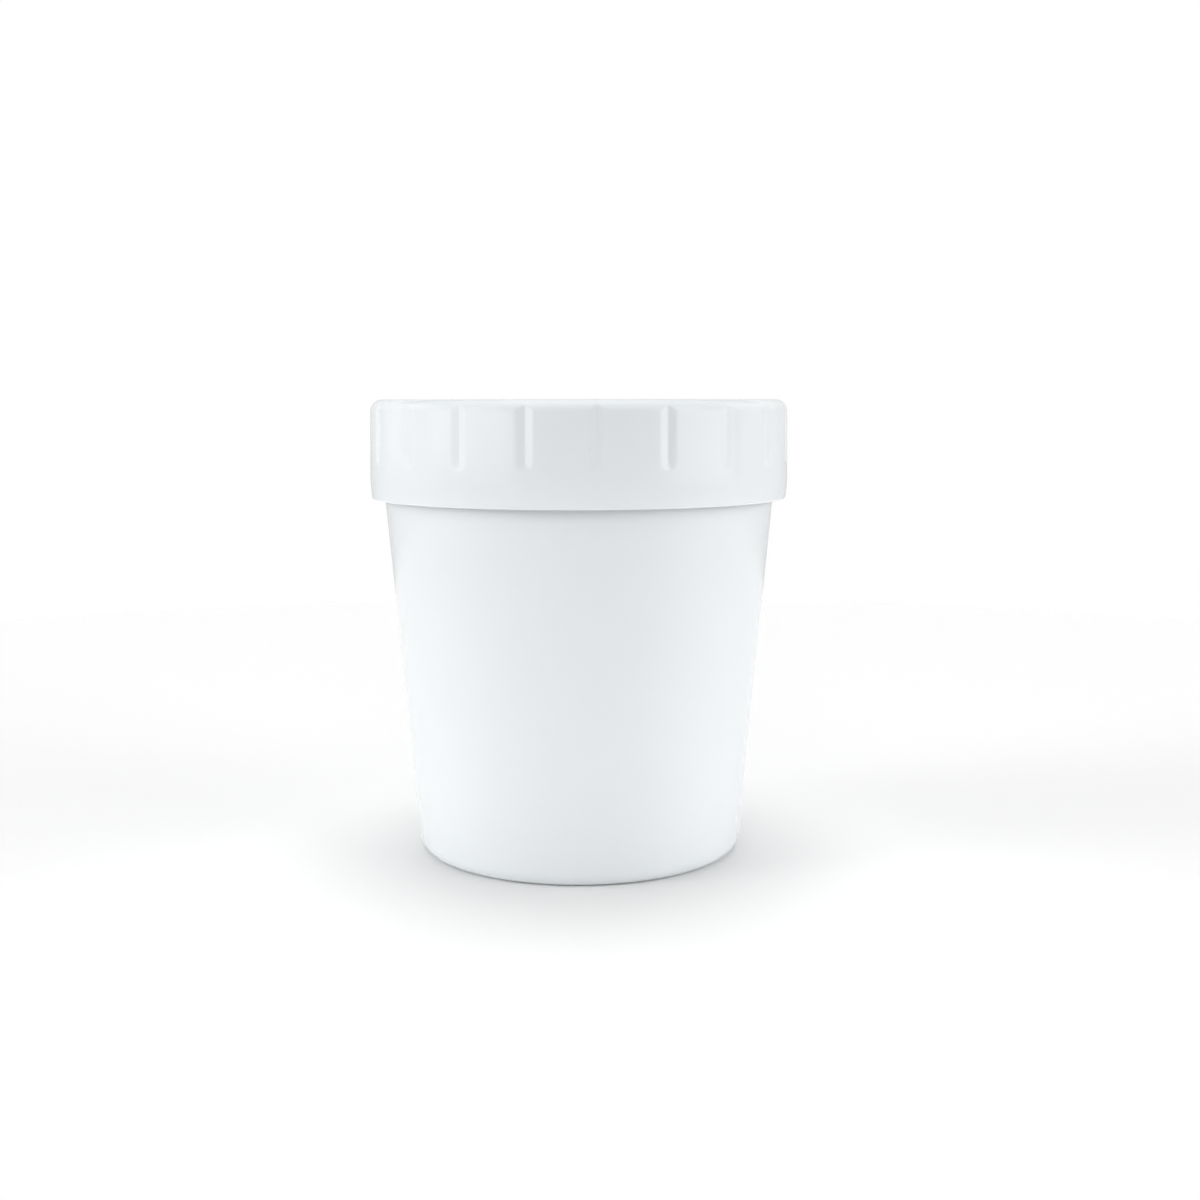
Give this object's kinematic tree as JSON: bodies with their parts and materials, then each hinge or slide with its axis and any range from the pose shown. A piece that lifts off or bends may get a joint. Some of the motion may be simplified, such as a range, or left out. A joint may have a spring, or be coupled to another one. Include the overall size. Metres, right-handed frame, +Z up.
{
  "type": "ice cream tub",
  "caption": "Round tapered plastic tub for ice cream, shut with a deep push-on lid that has scooped grip flutes round its skirt.",
  "frame": {"origin": "middle of the base, on the plane that the tub stands on", "axes": "+Z up along the tub's axis; -Y is the side that the picture shows"},
  "size_m": [0.1, 0.1, 0.1093],
  "materials": {
    "tub_plastic": "smooth glossy white moulding, slightly cool",
    "lid_plastic": "smooth glossy white moulding, slightly cool, a little lighter than the tub"
  },
  "bodies": {
    "root": {"tub": "tub_plastic", "lid": "lid_plastic"}
  },
  "joints": []
}
